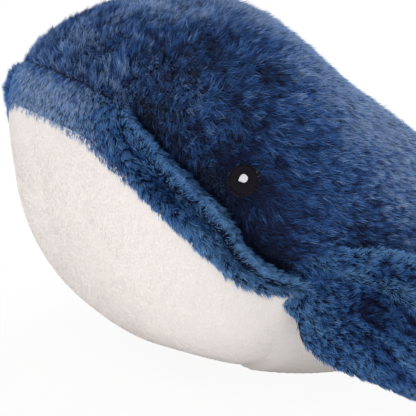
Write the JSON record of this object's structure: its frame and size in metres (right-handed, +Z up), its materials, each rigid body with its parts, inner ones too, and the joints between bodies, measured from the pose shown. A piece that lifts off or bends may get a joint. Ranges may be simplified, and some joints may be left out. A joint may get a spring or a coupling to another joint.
{
  "type": "plush whale",
  "caption": "Stuffed toy whale with a fur back, velour belly, rolled padded lips, embroidered eyes, side fins and tail flukes that flex at their seams.",
  "frame": {"origin": "middle of the whale's length and width, on the flat under the belly that it rests on", "axes": "-Y towards the nose, +Y towards the tail, +X the whale's left side, +Z up"},
  "size_m": [0.2766, 0.3611, 0.15],
  "materials": {
    "navy_fur": "long-pile faux fur",
    "cream_velour": "short-pile velour",
    "filling": "loose fibre",
    "black_thread": "satin-stitched thread",
    "white_thread": "satin-stitched thread"
  },
  "bodies": {
    "body": {"body_filling": "filling", "left_back_panel": "navy_fur", "right_back_panel": "navy_fur", "belly_panel": "cream_velour", "lower_lip_band": "navy_fur", "left_upper_lip_roll": "navy_fur", "right_upper_lip_roll": "navy_fur", "left_eye_patch": "black_thread", "right_eye_patch": "black_thread", "left_eye_glint": "white_thread", "right_eye_glint": "white_thread"},
    "left_fin": {"left_fin_upper_panel": "navy_fur", "left_fin_under_panel": "navy_fur", "left_fin_filling": "filling"},
    "right_fin": {"right_fin_upper_panel": "navy_fur", "right_fin_under_panel": "navy_fur", "right_fin_filling": "filling"},
    "tail_fluke": {"tail_fluke_upper_panel": "navy_fur", "tail_fluke_under_panel": "navy_fur", "tail_fluke_filling": "filling"}
  },
  "joints": [
    {"name": "left_fin_root", "type": "hinge", "parent": "body", "child": "left_fin", "pos_m": [0.08742, -0.09295, 0.0494], "axis": [0, -0.7193, -0.6947], "range_deg": [0, 50], "stiffness_Nm_per_rad": 0.02},
    {"name": "right_fin_root", "type": "hinge", "parent": "body", "child": "right_fin", "pos_m": [-0.08742, -0.09295, 0.0494], "axis": [0, 0.7193, 0.6947], "range_deg": [0, 50], "stiffness_Nm_per_rad": 0.02},
    {"name": "tail_seam", "type": "hinge", "parent": "body", "child": "tail_fluke", "pos_m": [0, 0.11689, 0.038], "axis": [1, 0, 0], "range_deg": [-25, 30], "stiffness_Nm_per_rad": 0.05}
  ]
}
